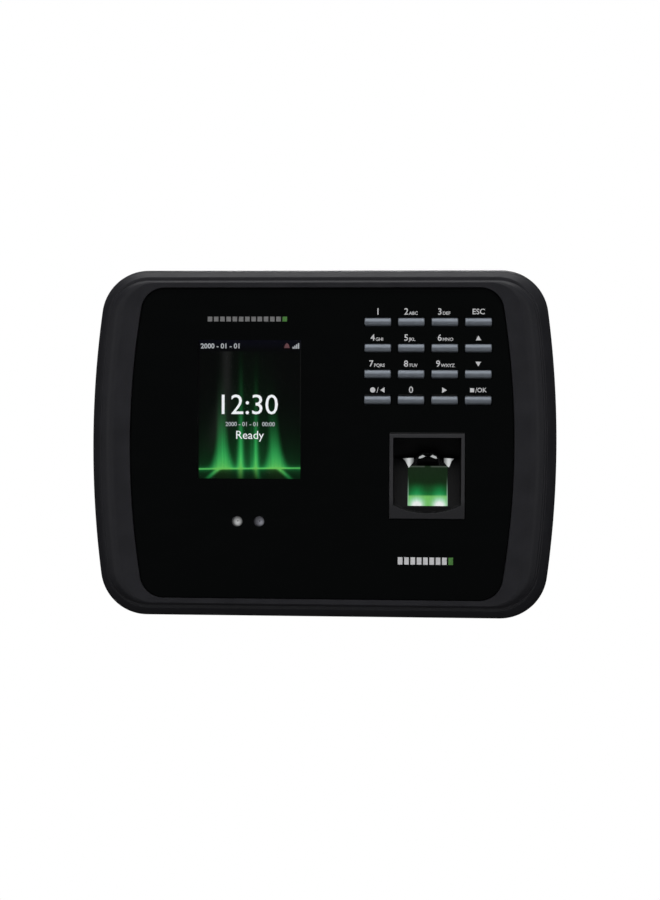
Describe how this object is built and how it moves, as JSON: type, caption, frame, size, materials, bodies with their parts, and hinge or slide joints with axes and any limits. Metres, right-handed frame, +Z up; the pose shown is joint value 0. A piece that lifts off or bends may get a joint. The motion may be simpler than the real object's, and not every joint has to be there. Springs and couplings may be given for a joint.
{
  "type": "fingerprint scanner terminal",
  "caption": "Wall-mounted access terminal with a tilted glass fingerprint reader, portrait display, camera pair and bar-shaped push keys under a glossy panel in a bowed case.",
  "frame": {"origin": "middle of the back face, on the wall", "axes": "+X to the viewer's right, -Y out of the front towards the viewer, +Z up"},
  "size_m": [0.197, 0.034, 0.147],
  "materials": {
    "housing": "fine-textured charcoal ABS",
    "gloss_panel": "back-printed black acrylic, polished",
    "key_silver": "silver lacquered ABS",
    "reader_frame": "satin dark grey ABS",
    "prism_glass": "polished glass lit green from below",
    "display": "liquid crystal display glass",
    "white_plastic": "moulded white polycarbonate",
    "plate_steel": "galvanised sheet steel",
    "zinc_steel": "zinc-plated steel",
    "tin_plate": "tin-plated sheet",
    "circuit_board": "glass-epoxy laminate with green solder mask",
    "foam": "closed-cell foam",
    "rubber": "moulded rubber",
    "silicone": "translucent grey silicone",
    "lens": "coated lens in a black barrel",
    "led_epoxy": "dark tinted epoxy",
    "flex_film": "amber polyimide film",
    "ribbon_film": "white flat cable",
    "black_plastic": "moulded black nylon",
    "terminal_green": "moulded green polyamide",
    "red_plastic": "moulded red acetal",
    "yellow_plastic": "moulded yellow acetal"
  },
  "bodies": {
    "case": {"front_housing": "housing", "rear_cover": "housing", "case_screws": "zinc_steel", "wall_plate": "plate_steel", "security_screw": "zinc_steel", "front_panel": "gloss_panel", "panel_tape": "foam", "lcd_gasket": "foam", "lcd_glass": "display", "lcd_backlight": "white_plastic", "lcd_bracket": "plate_steel", "lcd_screws": "zinc_steel", "lcd_flex": "flex_film", "camera_board": "circuit_board", "camera_shroud": "rubber", "camera_lens_visible": "lens", "camera_lens_infrared": "lens", "infrared_leds": "led_epoxy", "camera_screws": "zinc_steel", "keypad_mat": "silicone", "keypad_board": "circuit_board", "keypad_screws": "zinc_steel", "keypad_ribbon": "ribbon_film", "fingerprint_frame": "reader_frame", "fingerprint_prism": "prism_glass", "fingerprint_led_board": "circuit_board", "fingerprint_imager": "black_plastic", "fingerprint_shell": "black_plastic", "fingerprint_screws": "zinc_steel", "fingerprint_cable": "ribbon_film", "main_board": "circuit_board", "main_board_screws": "zinc_steel", "processor_shield": "tin_plate", "network_socket": "tin_plate", "usb_socket": "tin_plate", "power_jack": "black_plastic", "terminal_blocks": "terminal_green", "coin_cell_holder": "black_plastic", "coin_cell": "zinc_steel", "speaker": "black_plastic", "tamper_switch": "black_plastic", "reset_switch": "black_plastic"},
    "key_1": {"key_1": "key_silver"},
    "key_2": {"key_2": "key_silver"},
    "key_3": {"key_3": "key_silver"},
    "key_esc": {"key_esc": "key_silver"},
    "key_4": {"key_4": "key_silver"},
    "key_5": {"key_5": "key_silver"},
    "key_6": {"key_6": "key_silver"},
    "key_up": {"key_up": "key_silver"},
    "key_7": {"key_7": "key_silver"},
    "key_8": {"key_8": "key_silver"},
    "key_9": {"key_9": "key_silver"},
    "key_down": {"key_down": "key_silver"},
    "key_left": {"key_left": "key_silver"},
    "key_0": {"key_0": "key_silver"},
    "key_right": {"key_right": "key_silver"},
    "key_ok": {"key_ok": "key_silver"},
    "tamper_plunger": {"tamper_plunger": "red_plastic"},
    "reset_button": {"reset_button": "yellow_plastic"}
  },
  "joints": [
    {"name": "key_1_press", "type": "slide", "parent": "case", "child": "key_1", "axis": [0, 1, 0], "range_m": [0, 0.0008], "stiffness_N_per_m": 1200, "springref_m": -0.0002, "deforming": ["keypad_mat"]},
    {"name": "key_2_press", "type": "slide", "parent": "case", "child": "key_2", "axis": [0, 1, 0], "range_m": [0, 0.0008], "stiffness_N_per_m": 1200, "springref_m": -0.0002, "deforming": ["keypad_mat"]},
    {"name": "key_3_press", "type": "slide", "parent": "case", "child": "key_3", "axis": [0, 1, 0], "range_m": [0, 0.0008], "stiffness_N_per_m": 1200, "springref_m": -0.0002, "deforming": ["keypad_mat"]},
    {"name": "key_esc_press", "type": "slide", "parent": "case", "child": "key_esc", "axis": [0, 1, 0], "range_m": [0, 0.0008], "stiffness_N_per_m": 1200, "springref_m": -0.0002, "deforming": ["keypad_mat"]},
    {"name": "key_4_press", "type": "slide", "parent": "case", "child": "key_4", "axis": [0, 1, 0], "range_m": [0, 0.0008], "stiffness_N_per_m": 1200, "springref_m": -0.0002, "deforming": ["keypad_mat"]},
    {"name": "key_5_press", "type": "slide", "parent": "case", "child": "key_5", "axis": [0, 1, 0], "range_m": [0, 0.0008], "stiffness_N_per_m": 1200, "springref_m": -0.0002, "deforming": ["keypad_mat"]},
    {"name": "key_6_press", "type": "slide", "parent": "case", "child": "key_6", "axis": [0, 1, 0], "range_m": [0, 0.0008], "stiffness_N_per_m": 1200, "springref_m": -0.0002, "deforming": ["keypad_mat"]},
    {"name": "key_up_press", "type": "slide", "parent": "case", "child": "key_up", "axis": [0, 1, 0], "range_m": [0, 0.0008], "stiffness_N_per_m": 1200, "springref_m": -0.0002, "deforming": ["keypad_mat"]},
    {"name": "key_7_press", "type": "slide", "parent": "case", "child": "key_7", "axis": [0, 1, 0], "range_m": [0, 0.0008], "stiffness_N_per_m": 1200, "springref_m": -0.0002, "deforming": ["keypad_mat"]},
    {"name": "key_8_press", "type": "slide", "parent": "case", "child": "key_8", "axis": [0, 1, 0], "range_m": [0, 0.0008], "stiffness_N_per_m": 1200, "springref_m": -0.0002, "deforming": ["keypad_mat"]},
    {"name": "key_9_press", "type": "slide", "parent": "case", "child": "key_9", "axis": [0, 1, 0], "range_m": [0, 0.0008], "stiffness_N_per_m": 1200, "springref_m": -0.0002, "deforming": ["keypad_mat"]},
    {"name": "key_down_press", "type": "slide", "parent": "case", "child": "key_down", "axis": [0, 1, 0], "range_m": [0, 0.0008], "stiffness_N_per_m": 1200, "springref_m": -0.0002, "deforming": ["keypad_mat"]},
    {"name": "key_left_press", "type": "slide", "parent": "case", "child": "key_left", "axis": [0, 1, 0], "range_m": [0, 0.0008], "stiffness_N_per_m": 1200, "springref_m": -0.0002, "deforming": ["keypad_mat"]},
    {"name": "key_0_press", "type": "slide", "parent": "case", "child": "key_0", "axis": [0, 1, 0], "range_m": [0, 0.0008], "stiffness_N_per_m": 1200, "springref_m": -0.0002, "deforming": ["keypad_mat"]},
    {"name": "key_right_press", "type": "slide", "parent": "case", "child": "key_right", "axis": [0, 1, 0], "range_m": [0, 0.0008], "stiffness_N_per_m": 1200, "springref_m": -0.0002, "deforming": ["keypad_mat"]},
    {"name": "key_ok_press", "type": "slide", "parent": "case", "child": "key_ok", "axis": [0, 1, 0], "range_m": [0, 0.0008], "stiffness_N_per_m": 1200, "springref_m": -0.0002, "deforming": ["keypad_mat"]},
    {"name": "tamper_press", "type": "slide", "parent": "case", "child": "tamper_plunger", "axis": [0, -1, 0], "range_m": [0, 0.0012], "stiffness_N_per_m": 400, "springref_m": -0.0005},
    {"name": "reset_press", "type": "slide", "parent": "case", "child": "reset_button", "axis": [0, -1, 0], "range_m": [0, 0.00025], "stiffness_N_per_m": 4000, "springref_m": -0.0001}
  ]
}
